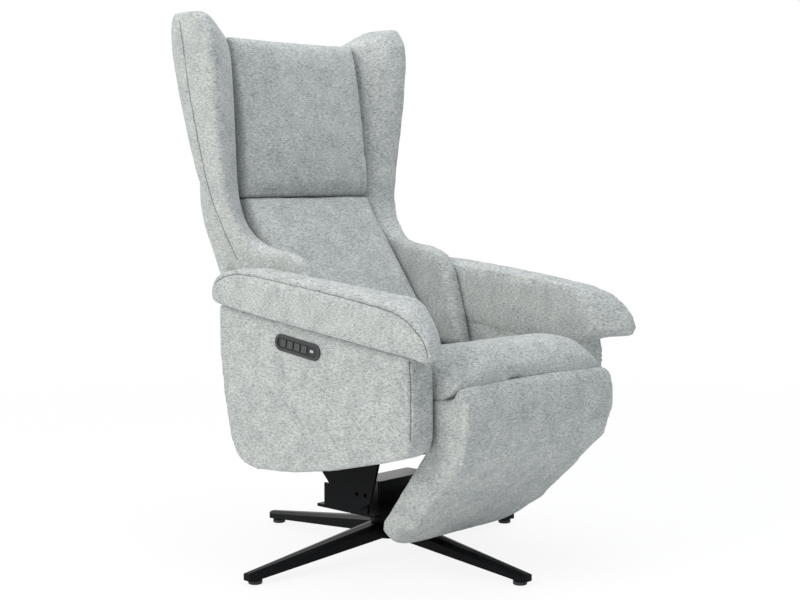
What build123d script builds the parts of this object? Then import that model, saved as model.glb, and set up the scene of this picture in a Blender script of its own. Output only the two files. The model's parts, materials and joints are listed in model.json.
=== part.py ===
"""Power swivel recliner with a winged back, padded arms, a folding footrest and a four-star base.

Millimetres, +Z up, the sitter faces -Y and the sitter's right arm is at -X.
The origin is on the floor, on the swivel axis.
"""
import os
from math import atan2, cos, radians, sin, tan

from build123d import *

# Driving dimensions: star base
leg_count = 4
leg_turn = -2.2
leg_reach = 388.0
leg_root_width = 58.0
leg_tip_width = 32.0
leg_root_low = 42.0
leg_root_high = 71.0
leg_tip_low = 9.0
leg_tip_high = 24.0
leg_ridge = 5.0
glide_inset = 22.0
glide_circle = leg_reach - glide_inset
glide_radius = 14.0
glide_height = 7.0
hub_radius = 42.0
hub_low = 36.0
hub_top = 106.0

# Driving dimensions: swivel
column_radius = 25.0
column_bore = 16.0
race_inner = 27.0
race_outer = 40.0
race_height = 5.0
race_gap = 0.3
running_gap = 0.05
plate_thickness = 6.0
swivel_plate_front = -118.0
swivel_plate_rear = 48.0

# Driving dimensions: mechanism under the seat
rail_outer = 166.0
rail_width = 20.0
rail_height = 24.0
rail_slope = 13.5
rail_rear = 60.0
rail_front = -250.0
rail_rear_low = 188.0
flange_height = 52.0
cross_tube_radius = 11.0
cross_tube_front = -205.0
cross_tube_rear = 20.0

# Driving dimensions: seat
seat_half_width = 227.0
seat_slope = 9.1
seat_rear = 16.0
seat_front = -386.0
seat_thickness = 74.0
seat_crown = 16.0
seat_rear_low = 346.0
frame_height = 34.0
frame_bar = 36.0
frame_front = -286.0
frame_inset = 4.0
webbing_thickness = 3.0
webbing_width = 50.0
webbing_count = 4
soft_gap = 0.4

# Driving dimensions: arms
arm_gap = 4.5
panel_inner = seat_half_width + arm_gap
panel_thickness = 64.0
pad_set_out = 1.5
pad_width = 85.0
pad_inner = panel_inner + pad_set_out
pad_outer = pad_inner + pad_width
pad_rear = 200.0
pad_front = -350.0
pad_front_low = 468.0
pad_slope = 7.5

# Driving dimensions: back
back_pivot_y = 78.0
back_pivot_z = 345.0
hinge_pin_radius = 6.0
back_set_in = 44.0
back_half_width = seat_half_width - back_set_in
back_lean = 36.0
lumbar_foot_y = 18.0
lumbar_foot_z = 432.0
lumbar_top_z = 734.0
lumbar_thickness = 84.0
upright_set_in = 33.0
upright_half_gap = back_half_width - upright_set_in
upright_width = 28.0
upright_thickness = 24.0
back_rail_height = 40.0
cover_thickness = 34.0
cover_foot = 400.0
wing_side_gap = 4.0
wing_inner = back_half_width + wing_side_gap

# Driving dimensions: headrest
head_pivot_y = 334.0
head_pivot_z = 782.0
head_top = 1078.0
head_front = 254.0
head_low = 744.0
head_thickness = 60.0
head_plate_thickness = 8.0
head_barrel_radius = 11.0
head_barrel_half = 60.0
head_plate_set_in = 43.0
head_plate_half = back_half_width - head_plate_set_in
head_pin_radius = 5.0

# Driving dimensions: footrest
foot_pivot_y = -335.0
foot_pivot_z = 366.0
foot_pin_radius = 5.0
foot_bulge = 12.0
board_set_in = 59.0
foot_rounding = 9.0
slide_slope = 25.0
slide_bar_x = 118.0
slide_bar_width = 12.0
slide_bar_height = 22.0
slide_bar_length = 348.0
runner_wall = 4.0
runner_rear = -70.0
runner_front = -250.0

# Driving dimensions: recline actuator
actuator_x = 58.0
actuator_lug_y = 150.0
actuator_lug_z = 282.0
motor_radius = 20.0
motor_length = 190.0
rod_radius = 9.0
rod_end_gap = 14.0
lug_thickness = 8.0
lug_radius = 9.0

# Driving dimensions: footrest motor
foot_motor_x = -58.0
foot_motor_radius = 16.0
foot_motor_rear = -90.0
foot_motor_front = -235.0
foot_rod_radius = 7.0
carriage_bar_y = -304.0
carriage_bar_radius = 7.0

# Driving dimensions: control panel
control_length = 128.0
control_height = 33.0
control_depth = 18.0
control_y = -36.0
control_drop = 46.0
bezel_proud = 3.0
face_recess = 2.0
button_size = 15.0
button_travel = 1.5
button_count = 4
button_pitch = 20.0
button_first = -40.0
button_gap = 0.3

# Driving dimensions: power supply
power_box_length = 150.0
power_box_depth = 62.0
power_box_height = 44.0
inlet_width = 27.0
inlet_height = 20.0

os.makedirs("parts", exist_ok=True)
sides = {"right": -1, "left": 1}
standing = (Align.CENTER, Align.CENTER, Align.MIN)


def keep(builder, node):
    """Label a finished piece and write it."""
    builder.part.label = node
    export_step(builder.part, f"parts/{node}.step")


def side_face(x, points, rounding=0.0):
    """A closed outline in the Y-Z plane at a distance x, with its corners rounded."""
    with BuildSketch(Plane.YZ.offset(x)) as face:
        with BuildLine():
            Polyline(*points, close=True)
        make_face()
        if rounding:
            fillet(face.vertices(), rounding)
    return face.sketch


def level_face(z, points, rounding):
    """A closed outline at a height z, with its corners rounded."""
    with BuildSketch(Plane.XY.offset(z)) as face:
        with BuildLine():
            Polyline(*points, close=True)
        make_face()
        fillet(face.vertices(), rounding)
    return face.sketch


def on_slope(y, start_y, start_z, slope):
    """Height at y of a line through a start point that rises towards the front."""
    return start_z + (start_y - y) * tan(radians(slope))


def ends(side, inner, outer):
    """The X limits of a piece on one side, lowest first."""
    return (inner, outer) if side > 0 else (-outer, -inner)


# Star base
with BuildPart() as leg:
    leg_sections = []
    for reach, width, low, high in (
        (column_radius, leg_root_width, leg_root_low, leg_root_high),
        (leg_reach, leg_tip_width, leg_tip_low, leg_tip_high),
    ):
        with BuildSketch(Plane.YZ.offset(reach)) as section:
            with BuildLine():
                Polyline(
                    (-width / 2, low),
                    (width / 2, low),
                    (width / 2, high - leg_ridge),
                    (width / 6, high),
                    (-width / 6, high),
                    (-width / 2, high - leg_ridge),
                    close=True,
                )
            make_face()
        leg_sections.append(section.sketch)
    loft(sections=leg_sections, ruled=True)
    fillet(leg.edges().filter_by(Axis.Z).sort_by(Axis.X)[-2:], leg_tip_width / 3)
    with Locations((glide_circle, 0, glide_height)):
        Cylinder(glide_radius, leg_tip_high - glide_height - leg_ridge, align=standing)

with BuildPart() as star_base:
    with Locations((0, 0, hub_low)):
        Cylinder(hub_radius, hub_top - hub_low, align=standing)
    with PolarLocations(0, leg_count, start_angle=leg_turn):
        add(leg.part)
    with Locations((0, 0, hub_low)):
        Cylinder(
            column_radius + running_gap,
            hub_top - hub_low,
            align=standing,
            mode=Mode.SUBTRACT,
        )
keep(star_base, "star_base")

with BuildPart() as foot_glides:
    with PolarLocations(glide_circle, leg_count, start_angle=leg_turn):
        Cylinder(glide_radius, glide_height, align=standing)
    fillet(foot_glides.edges().group_by(Axis.Z)[0], glide_height / 3)
keep(foot_glides, "foot_glides")

# Swivel bearing
race_low = hub_top
race_split = race_low + race_height
plate_low = race_split + race_gap + race_height
with BuildPart() as swivel_column:
    with Locations((0, 0, hub_low)):
        Cylinder(column_radius, race_split - hub_low, align=standing)
        Cylinder(
            column_bore, race_split - hub_low, align=standing, mode=Mode.SUBTRACT
        )
keep(swivel_column, "swivel_column")

for race_name, low in (("lower_race", race_low), ("upper_race", race_split + race_gap)):
    with BuildPart() as race:
        with Locations((0, 0, low)):
            Cylinder(race_outer, race_height, align=standing)
            Cylinder(race_inner, race_height, align=standing, mode=Mode.SUBTRACT)
    keep(race, race_name)

with BuildPart() as swivel_spindle:
    with Locations((0, 0, hub_low)):
        Cylinder(column_bore - running_gap, plate_low - hub_low, align=standing)
    chamfer(swivel_spindle.edges().group_by(Axis.Z)[0], column_bore / 8)
keep(swivel_spindle, "swivel_spindle")

# Swivel plate, folded up at both sides
plate_middle = (swivel_plate_front + swivel_plate_rear) / 2
plate_depth = swivel_plate_rear - swivel_plate_front
with BuildPart() as swivel_plate:
    with Locations((0, plate_middle, plate_low)):
        Box(2 * rail_outer, plate_depth, plate_thickness, align=standing)
    for side in sides.values():
        with Locations((side * (rail_outer - plate_thickness / 2), plate_middle, plate_low)):
            Box(plate_thickness, plate_depth * 0.75, flange_height, align=standing)
keep(swivel_plate, "swivel_plate")


def rail_low(y):
    """Underside of the seat rails."""
    return on_slope(y, rail_rear, rail_rear_low, rail_slope)


# Side plates of the mechanism, bolted outside the flanges and the rails
flange_top = plate_low + flange_height
plate_foot = plate_low + plate_thickness + 8
side_plate_outline = [
    (swivel_plate_rear - 8, rail_low(swivel_plate_rear - 8) + rail_height / 2),
    (swivel_plate_rear - 40, flange_top + 4),
    (plate_middle + 22, plate_foot + 6),
    (plate_middle + 2, plate_foot),
    (plate_middle - 48, plate_foot),
    (plate_middle - 74, plate_foot + 14),
    (swivel_plate_front - 16, rail_low(swivel_plate_front - 16)),
    (swivel_plate_front - 20, rail_low(swivel_plate_front - 20) + rail_height / 2),
]
plate_hole_radius = 4.5
plate_hole_places = [(plate_middle - 38, plate_foot + 30), (plate_middle - 62, plate_foot + 30)]
for side_name, side in sides.items():
    low_x, high_x = ends(side, rail_outer, rail_outer + plate_thickness)
    with BuildPart() as side_plate:
        extrude(side_face(low_x, side_plate_outline, 3.0), amount=plate_thickness)
        with BuildSketch(Plane.YZ.offset(low_x)):
            with Locations(*plate_hole_places):
                Circle(plate_hole_radius)
        extrude(amount=plate_thickness, mode=Mode.SUBTRACT)
    keep(side_plate, f"side_plate_{side_name}")

    rail_outline = [
        (rail_rear, rail_low(rail_rear)),
        (rail_front, rail_low(rail_front)),
        (rail_front, rail_low(rail_front) + rail_height),
        (rail_rear, rail_low(rail_rear) + rail_height),
    ]
    low_x, high_x = ends(side, rail_outer - rail_width, rail_outer)
    with BuildPart() as seat_rail:
        extrude(side_face(low_x, rail_outline, 2.0), amount=rail_width)
    keep(seat_rail, f"seat_rail_{side_name}")

with BuildPart() as cross_tubes:
    for tube_y in (cross_tube_front, cross_tube_rear):
        with BuildSketch(Plane.YZ.offset(rail_width - rail_outer)):
            with Locations((tube_y, rail_low(tube_y) + rail_height / 2)):
                Circle(cross_tube_radius)
        extrude(amount=2 * (rail_outer - rail_width))
keep(cross_tubes, "cross_tubes")


# Seat: a frame on posts over the rails, webbing across it and the cushion on top
def seat_low(y):
    """Underside of the seat cushion."""
    return on_slope(y, seat_rear, seat_rear_low, seat_slope)


def seat_outline(crown, draw_in):
    """Side outline of the seat cushion, swollen by its crown and drawn in along its edges."""
    top = seat_thickness - draw_in + crown
    nose = seat_front + draw_in
    return [
        (seat_rear - draw_in, seat_low(seat_rear - draw_in)),
        (nose + 26, seat_low(nose + 26)),
        (nose, seat_low(nose) + 16),
        (nose, seat_low(nose) + top * 0.62),
        (nose + 34, seat_low(nose + 34) + top),
        (seat_rear * 0.5 + seat_front * 0.5, seat_low((seat_rear + seat_front) / 2) + top * 0.98),
        (seat_rear - draw_in, seat_low(seat_rear - draw_in) + top * 0.9),
    ]


with BuildPart() as seat_cushion:
    seat_sections = []
    for share, crown, draw_in in (
        (-1.0, -14.0, 12.0),
        (-0.93, -2.0, 3.0),
        (0.0, seat_crown, 0.0),
        (0.93, -2.0, 3.0),
        (1.0, -14.0, 12.0),
    ):
        seat_sections.append(side_face(share * seat_half_width, seat_outline(crown, draw_in), 9.0))
    loft(sections=seat_sections)
keep(seat_cushion, "seat_cushion")

frame_half = seat_half_width - frame_inset
frame_rear = seat_rear - frame_inset


def frame_bar_outline(rear, front):
    """Side outline of a stretch of the seat frame, just under the cushion."""
    top = -webbing_thickness - soft_gap
    return [
        (rear, seat_low(rear) + top),
        (front, seat_low(front) + top),
        (front, seat_low(front) + top - frame_height),
        (rear, seat_low(rear) + top - frame_height),
    ]


with BuildPart() as seat_frame:
    extrude(side_face(-frame_half, frame_bar_outline(frame_rear, frame_front)), amount=2 * frame_half)
    extrude(
        side_face(frame_bar - frame_half, frame_bar_outline(frame_rear - frame_bar, frame_front + frame_bar)),
        amount=2 * (frame_half - frame_bar),
        mode=Mode.SUBTRACT,
    )
keep(seat_frame, "seat_frame")

with BuildPart() as seat_webbing:
    webbing_span = frame_front + frame_bar - (frame_rear - frame_bar)
    for index in range(webbing_count):
        middle = frame_rear - frame_bar + webbing_span * (index + 0.5) / webbing_count
        rear, front = middle + webbing_width / 2, middle - webbing_width / 2
        strap = [
            (rear, seat_low(rear) - soft_gap),
            (front, seat_low(front) - soft_gap),
            (front, seat_low(front) - soft_gap - webbing_thickness),
            (rear, seat_low(rear) - soft_gap - webbing_thickness),
        ]
        extrude(side_face(-frame_half, strap), amount=2 * frame_half)
keep(seat_webbing, "seat_webbing")

frame_under = -webbing_thickness - soft_gap - frame_height
post_length = 30.0
with BuildPart() as seat_posts:
    for side in sides.values():
        low_x, high_x = ends(side, rail_outer - rail_width, rail_outer)
        for post_y in (cross_tube_front - post_length, cross_tube_rear - post_length):
            post = [
                (post_y + post_length / 2, rail_low(post_y + post_length / 2) + rail_height),
                (post_y - post_length / 2, rail_low(post_y - post_length / 2) + rail_height),
                (post_y - post_length / 2, seat_low(post_y - post_length / 2) + frame_under),
                (post_y + post_length / 2, seat_low(post_y + post_length / 2) + frame_under),
            ]
            extrude(side_face(low_x, post), amount=rail_width)
keep(seat_posts, "seat_posts")


# Arms: an upholstered panel each side with a pad along its top
def pad_low(y):
    """Underside of the arm pads, which is also the top edge of the arm panels."""
    return on_slope(y, pad_front, pad_front_low, -pad_slope)


def grown(points, share):
    """An outline drawn in towards its middle by a share of its size."""
    middle_y = sum(y for y, z in points) / len(points)
    middle_z = sum(z for y, z in points) / len(points)
    return [(middle_y + (y - middle_y) * share, middle_z + (z - middle_z) * share) for y, z in points]


panel_outline = [
    (pad_rear - 2, pad_low(pad_rear - 2)),
    (pad_rear - 20, 337),
    (pad_rear - 46, 240),
    (pad_rear - 92, 206),
    (pad_front + 224, 231),
    (pad_front + 22, 283),
    (pad_front - 14, 306),
    (pad_front, pad_low(pad_front)),
]
pad_outline = [
    (pad_rear, pad_low(pad_rear)),
    (pad_rear + 3, pad_low(pad_rear) + 26),
    (pad_rear - 24, pad_low(pad_rear) + 62),
    (pad_rear - 90, pad_low(pad_rear - 90) + 81),
    (pad_front + 230, pad_low(pad_front + 230) + 86),
    (pad_front + 36, pad_low(pad_front + 36) + 88),
    (pad_front - 28, pad_low(pad_front) + 66),
    (pad_front - 60, pad_low(pad_front) + 26),
    (pad_front - 56, pad_low(pad_front) - 2),
    (pad_front - 36, pad_low(pad_front) - 10),
    (pad_front - 1, pad_low(pad_front)),
]
panel_outer = panel_inner + panel_thickness
control_z = pad_low(control_y) - control_drop
control_plane = Plane(
    origin=(-panel_outer, control_y, control_z),
    x_dir=(0, -cos(radians(pad_slope)), -sin(radians(pad_slope))),
    z_dir=(-1, 0, 0),
)
control_ring = 7.0
housing_length = control_length - 2 * control_ring
housing_height = control_height - 2 * control_ring
housing_gap = 0.2
for side_name, side in sides.items():
    with BuildPart() as arm_panel:
        loft(
            sections=[
                side_face(side * (panel_inner + panel_thickness * depth), grown(panel_outline, share), 14.0)
                for depth, share in ((0.0, 0.985), (0.12, 1.0), (0.8, 1.0), (1.0, 0.955))
            ],
            ruled=True,
        )
        if side < 0:
            with BuildSketch(control_plane):
                SlotOverall(housing_length + 2 * housing_gap, housing_height + 2 * housing_gap)
            extrude(amount=-control_depth, mode=Mode.SUBTRACT)
    keep(arm_panel, f"arm_panel_{side_name}")

    with BuildPart() as arm_pad:
        loft(
            sections=[
                side_face(side * (pad_inner + pad_width * depth), grown(pad_outline, share), 5.0)
                for depth, share in ((0.0, 0.93), (0.2, 0.99), (0.5, 1.0), (0.8, 0.99), (1.0, 0.93))
            ],
            ruled=True,
        )
        # The pad sits flat on the panel
        with BuildSketch(Plane.YZ.offset(-pad_outer)):
            with BuildLine():
                Polyline(
                    (pad_front, pad_low(pad_front) + soft_gap),
                    (pad_rear + 20, pad_low(pad_rear + 20) + soft_gap),
                    (pad_rear + 20, pad_low(pad_rear) - 60),
                    (pad_front, pad_low(pad_front) - 60),
                    close=True,
                )
            make_face()
        extrude(amount=2 * pad_outer, mode=Mode.SUBTRACT)
    keep(arm_pad, f"arm_pad_{side_name}")

# Bolts that hold the arm panels to the seat frame
bolt_radius = 4.0
bolt_places = [frame_rear - frame_bar / 2, frame_front + frame_bar / 2]
with BuildPart() as arm_spacers:
    for side in sides.values():
        low_x, high_x = ends(side, frame_half, panel_inner)
        for bolt_y in bolt_places:
            with BuildSketch(Plane.YZ.offset(low_x)):
                with Locations((bolt_y, seat_low(bolt_y) + frame_under + frame_height / 2)):
                    Circle(2 * bolt_radius)
            extrude(amount=high_x - low_x)
keep(arm_spacers, "arm_spacers")

# Control panel on the right arm
housing_proud = bezel_proud - face_recess
button_depth = 8.5
button_places = [(button_first + index * button_pitch, 0) for index in range(button_count)]
lamp_place = (button_first + button_count * button_pitch, 0)
lamp_length = 10.0
lamp_height = 5.0
with BuildPart() as control_housing:
    with BuildSketch(control_plane.offset(housing_proud)):
        SlotOverall(housing_length, housing_height)
    extrude(amount=-control_depth - housing_proud)
    with BuildSketch(control_plane.offset(housing_proud)):
        with Locations(*button_places):
            RectangleRounded(button_size + 2 * button_gap, button_size + 2 * button_gap, 3.0)
    extrude(amount=-button_depth - button_travel, mode=Mode.SUBTRACT)
    with BuildSketch(control_plane.offset(housing_proud)):
        with Locations(lamp_place):
            SlotOverall(lamp_length, lamp_height)
    extrude(amount=-button_depth, mode=Mode.SUBTRACT)
keep(control_housing, "control_housing")

with BuildPart() as control_bezel:
    with BuildSketch(control_plane):
        SlotOverall(control_length, control_height)
        SlotOverall(housing_length + 2 * housing_gap, housing_height + 2 * housing_gap, mode=Mode.SUBTRACT)
    extrude(amount=bezel_proud)
    fillet(control_bezel.edges().group_by(Axis.X)[0], bezel_proud / 4)
keep(control_bezel, "control_bezel")

with BuildPart() as control_lamp:
    with BuildSketch(control_plane.offset(housing_proud)):
        with Locations(lamp_place):
            SlotOverall(lamp_length, lamp_height)
    extrude(amount=-button_depth)
keep(control_lamp, "control_lamp")

button_proud = face_recess
for index, place in enumerate(button_places, 1):
    with BuildPart() as button:
        with BuildSketch(control_plane.offset(housing_proud + button_proud)):
            with Locations(place):
                RectangleRounded(button_size, button_size, 3.0)
        extrude(amount=-button_proud - button_depth + button_gap)
        fillet(button.edges().group_by(Axis.X)[0], button_proud / 3)
    keep(button, f"button_{index}")

# Power supply on the swivel plate
plate_top = plate_low + plate_thickness
power_box_y = -12.0
with BuildPart() as power_box:
    with Locations((0, power_box_y, plate_top)):
        Box(power_box_length, power_box_depth, power_box_height, align=standing)
    fillet(power_box.edges().filter_by(Axis.Z), power_box_height / 8)
keep(power_box, "power_box")

inlet_depth = 16.0
inlet_wall = 3.0
inlet_floor = 4.0
inlet_rear = power_box_y + power_box_depth / 2
inlet_z = plate_top + power_box_height / 2
inlet_plane = Plane(origin=(0, inlet_rear, inlet_z), x_dir=(1, 0, 0), z_dir=(0, 1, 0))
with BuildPart() as power_inlet:
    with BuildSketch(inlet_plane):
        RectangleRounded(inlet_width, inlet_height, inlet_wall)
    extrude(amount=inlet_depth)
    with BuildSketch(inlet_plane.offset(inlet_floor)):
        Rectangle(inlet_width - 2 * inlet_wall, inlet_height - 2 * inlet_wall)
    extrude(amount=inlet_depth - inlet_floor, mode=Mode.SUBTRACT)
keep(power_inlet, "power_inlet")


# Back: leaning uprights that turn straight up behind the headrest
def lumbar_front(z):
    """Front surface of the lumbar cushion at a height."""
    return lumbar_foot_y + (z - lumbar_foot_z) * tan(radians(back_lean))


lumbar_run = lumbar_thickness / cos(radians(back_lean))
upright_run = upright_thickness / cos(radians(back_lean))
frame_gap = webbing_thickness + 2 * soft_gap


def upright_front(z):
    """Front of the back uprights along their leaning stretch."""
    return lumbar_front(z) + lumbar_run + frame_gap


upright_foot = back_pivot_z - 17.0
upright_bend = lumbar_top_z
upright_top = head_top - 40.0
upright_outline = [
    (upright_front(upright_foot), upright_foot),
    (upright_front(upright_bend), upright_bend),
    (upright_front(upright_bend), upright_top),
    (upright_front(upright_bend) + upright_thickness, upright_top),
    (upright_front(upright_bend) + upright_thickness, upright_bend),
    (upright_front(upright_foot) + upright_run, upright_foot),
]
hinge_gap = 1.0
hinge_plate = 6.0
with BuildPart() as back_uprights:
    for side in sides.values():
        low_x, high_x = ends(side, upright_half_gap, upright_half_gap + upright_width)
        extrude(side_face(low_x, upright_outline), amount=upright_width)
        with BuildSketch(Plane.YZ.offset(low_x)):
            with Locations((back_pivot_y, back_pivot_z)):
                Circle(hinge_pin_radius + running_gap)
        extrude(amount=upright_width, mode=Mode.SUBTRACT)
keep(back_uprights, "back_uprights")

back_rail_places = [upright_foot, 540.0, upright_top - 2 * back_rail_height]
with BuildPart() as back_rails:
    for rail_z in back_rail_places:
        rail_y = upright_front(min(rail_z, upright_bend))
        rail_top_y = upright_front(min(rail_z + back_rail_height, upright_bend))
        rail_run = upright_run if rail_z < upright_bend else upright_thickness
        rail_shape = [
            (rail_y, rail_z),
            (rail_top_y, rail_z + back_rail_height),
            (rail_top_y + rail_run, rail_z + back_rail_height),
            (rail_y + rail_run, rail_z),
        ]
        extrude(side_face(-upright_half_gap, rail_shape), amount=2 * upright_half_gap)
keep(back_rails, "back_rails")

lumbar_outline = [
    (lumbar_front(lumbar_foot_z + 6), lumbar_foot_z + 6),
    (lumbar_front(lumbar_top_z), lumbar_top_z),
    (lumbar_front(lumbar_top_z) + 40, lumbar_top_z - 22),
    (lumbar_front(lumbar_top_z - 38) + lumbar_run, lumbar_top_z - 38),
    (lumbar_front(lumbar_foot_z) + lumbar_run, lumbar_foot_z),
]
with BuildPart() as lumbar_cushion:
    lumbar_sections = []
    for share, scale in ((-1.0, 0.93), (-0.9, 0.985), (0.0, 1.0), (0.9, 0.985), (1.0, 0.93)):
        lumbar_sections.append(side_face(share * back_half_width, grown(lumbar_outline, scale), 9.0))
    loft(sections=lumbar_sections)
    # The cushion lies flat on the webbing
    lumbar_behind = [
        (lumbar_front(lumbar_foot_z - 60) + lumbar_run, lumbar_foot_z - 60),
        (lumbar_front(lumbar_top_z) + lumbar_run, lumbar_top_z),
        (lumbar_front(lumbar_top_z) + 2 * lumbar_run, lumbar_top_z),
        (lumbar_front(lumbar_foot_z - 60) + 2 * lumbar_run, lumbar_foot_z - 60),
    ]
    extrude(side_face(-back_half_width, lumbar_behind), amount=2 * back_half_width, mode=Mode.SUBTRACT)
keep(lumbar_cushion, "lumbar_cushion")

back_webbing_places = [470.0, 540.0, 610.0, 680.0]
with BuildPart() as back_webbing:
    for strap_z in back_webbing_places:
        strap_front = lumbar_run + soft_gap
        strap_top = strap_z + webbing_width * 0.8
        strap = [
            (lumbar_front(strap_z) + strap_front, strap_z),
            (lumbar_front(strap_top) + strap_front, strap_top),
            (lumbar_front(strap_top) + strap_front + webbing_thickness, strap_top),
            (lumbar_front(strap_z) + strap_front + webbing_thickness, strap_z),
        ]
        extrude(
            side_face(-upright_half_gap - upright_width, strap), amount=2 * (upright_half_gap + upright_width)
        )
keep(back_webbing, "back_webbing")

# Side bolsters beside the lumbar cushion, and the wings above them
bolster_gap = 3.5
bolster_outer = panel_inner - bolster_gap
bolster_width = bolster_outer - wing_inner
bolster_foot = lumbar_foot_z + 14
wing_foot = 662.0
bolster_outline = [
    (-30.0, bolster_foot),
    (-22.0, 560.0),
    (-2.0, 628.0),
    (50.0, wing_foot - 10),
    (204.0, wing_foot),
    (272.0, wing_foot),
    (226.0, 560.0),
    (150.0, bolster_foot),
]
wing_sections = [
    (wing_foot, 51.0, 212.0, 205.0, 272.0),
    (700.0, 57.0, 250.0, 236.0, 284.0),
    (upright_bend, 63.0, 255.0, 243.0, 293.0),
    (765.0, 68.0, 256.0, 246.0, 300.0),
    (860.0, 85.0, 254.0, 236.0, 312.0),
    (960.0, 101.0, 250.0, 226.0, 330.0),
    (1050.0, 110.0, 250.0, 227.0, 346.0),
    (1104.0, 107.0, 256.0, 244.0, 348.0),
    (1130.0, 95.0, 282.0, 288.0, 332.0),
]
cover_half = back_half_width + 1
cover_gap = 0.8
wing_gap = 4.0
cover_set_in = 3.0
cover_lower = [
    (cover_foot, bolster_outer - 6, 128.0),
    (560.0, bolster_outer, 238.0),
]


def cover_face(z, half, side_front):
    """Level outline of the rear cover: a shell that wraps the uprights and meets the wings."""
    inside = upright_front(min(z, upright_bend)) + upright_run + cover_gap
    outside = inside + cover_thickness
    side_rear = side_front + cover_thickness
    with BuildSketch(Plane.XY.offset(z)) as face:
        with BuildLine():
            Polyline(
                (-cover_half, inside),
                (-cover_half, side_front),
                (-half, side_front),
                (-half, side_rear),
                (-0.7 * half, outside),
                (0.7 * half, outside),
                (half, side_rear),
                (half, side_front),
                (cover_half, side_front),
                (cover_half, inside),
                close=True,
            )
        make_face()
    return face.sketch


with BuildPart() as rear_cover:
    cover_sections = [cover_face(*section) for section in cover_lower]
    for z, flare, front_in, front_out, rear in wing_sections[1:-1]:
        cover_sections.append(cover_face(z, wing_inner + flare - cover_set_in, rear + wing_gap))
    loft(sections=cover_sections, ruled=True)
keep(rear_cover, "rear_cover")

for side_name, side in sides.items():
    with BuildPart() as bolster:
        loft(
            sections=[
                side_face(side * (wing_inner + bolster_width * depth), grown(bolster_outline, share), 8.0)
                for depth, share in ((0.0, 0.95), (0.3, 1.0), (0.7, 1.0), (1.0, 0.95))
            ],
            ruled=True,
        )
        split(bisect_by=Plane.XY.offset(wing_foot), keep=Keep.BOTTOM)
    keep(bolster, f"bolster_{side_name}")

    with BuildPart() as wing:
        loft(
            sections=[
                level_face(
                    z,
                    [
                        (side * wing_inner, front_in),
                        (side * (wing_inner + flare), front_out),
                        (side * (wing_inner + flare), rear),
                        (side * wing_inner, rear),
                    ],
                    12.0,
                )
                for z, flare, front_in, front_out, rear in wing_sections
            ]
        )
    keep(wing, f"wing_{side_name}")


# Hinge of the back: brackets on the seat frame and a pin through each upright
bracket_inner = upright_half_gap + upright_width + hinge_gap
bracket_eye = 15.0
frame_top = seat_low(frame_rear) - webbing_thickness - soft_gap
with BuildPart() as hinge_brackets:
    for side in sides.values():
        low_x, high_x = ends(side, bracket_inner, bracket_inner + hinge_plate)
        with BuildSketch(Plane.YZ.offset(low_x)):
            with BuildLine():
                Polyline(
                    (frame_rear, frame_top),
                    (frame_rear, frame_top - frame_height),
                    (back_pivot_y, back_pivot_z - bracket_eye),
                    (back_pivot_y, back_pivot_z + bracket_eye),
                    close=True,
                )
            make_face()
            with Locations((back_pivot_y, back_pivot_z)):
                Circle(bracket_eye)
                Circle(hinge_pin_radius + running_gap, mode=Mode.SUBTRACT)
        extrude(amount=hinge_plate)
keep(hinge_brackets, "hinge_brackets")

with BuildPart() as hinge_pins:
    for side in sides.values():
        low_x, high_x = ends(side, upright_half_gap, bracket_inner + hinge_plate)
        with BuildSketch(Plane.YZ.offset(low_x)):
            with Locations((back_pivot_y, back_pivot_z)):
                Circle(hinge_pin_radius)
        extrude(amount=high_x - low_x)
keep(hinge_pins, "hinge_pins")

# Headrest on a ratchet barrel
head_rear = head_front + head_thickness
head_outline = [
    (head_front + 2, head_low + 2),
    (head_front - 4, head_low + 120),
    (head_front, head_top - 80),
    (head_front + 10, head_top - 14),
    (head_front + 34, head_top),
    (head_rear, head_top - 4),
    (head_rear, head_low + 56),
    (head_rear - 14, head_low + 4),
]
with BuildPart() as head_cushion:
    loft(
        sections=[
            side_face(share * back_half_width, grown(head_outline, scale), 7.0)
            for share, scale in ((-1.0, 0.955), (-0.92, 0.99), (0.0, 1.0), (0.92, 0.99), (1.0, 0.955))
        ],
        ruled=True,
    )
keep(head_cushion, "head_cushion")

head_plate_front = head_rear + soft_gap
head_plate_rear = head_plate_front + head_plate_thickness
with BuildPart() as head_plate:
    with Locations((0, head_plate_front, head_pivot_z - 2 * head_barrel_radius)):
        Box(
            2 * head_plate_half,
            head_plate_thickness,
            head_top - head_pivot_z - head_barrel_radius,
            align=(Align.CENTER, Align.MIN, Align.MIN),
        )
    fillet(head_plate.edges().filter_by(Axis.Y), 2 * head_barrel_radius)
keep(head_plate, "head_plate")

with BuildPart() as head_ratchet:
    with BuildSketch(Plane.YZ.offset(-head_barrel_half)):
        with Locations((head_pivot_y, head_pivot_z)):
            Circle(head_barrel_radius)
        with Locations((head_plate_rear, head_pivot_z)):
            Rectangle(head_pivot_y - head_plate_rear, head_barrel_radius, align=(Align.MIN, Align.CENTER))
        with Locations((head_pivot_y, head_pivot_z)):
            Circle(head_pin_radius + running_gap, mode=Mode.SUBTRACT)
    extrude(amount=2 * head_barrel_half)
    # The barrel is flat where it meets the plate
    with Locations((0, head_plate_rear, head_pivot_z)):
        Box(
            4 * head_barrel_half,
            head_thickness,
            4 * head_barrel_radius,
            align=(Align.CENTER, Align.MAX, Align.CENTER),
            mode=Mode.SUBTRACT,
        )
keep(head_ratchet, "head_ratchet")

lug_reach = upright_half_gap + upright_width / 2
with BuildPart() as head_pin:
    with BuildSketch(Plane.YZ.offset(-lug_reach)):
        with Locations((head_pivot_y, head_pivot_z)):
            Circle(head_pin_radius)
    extrude(amount=2 * lug_reach)
keep(head_pin, "head_pin")

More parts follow.
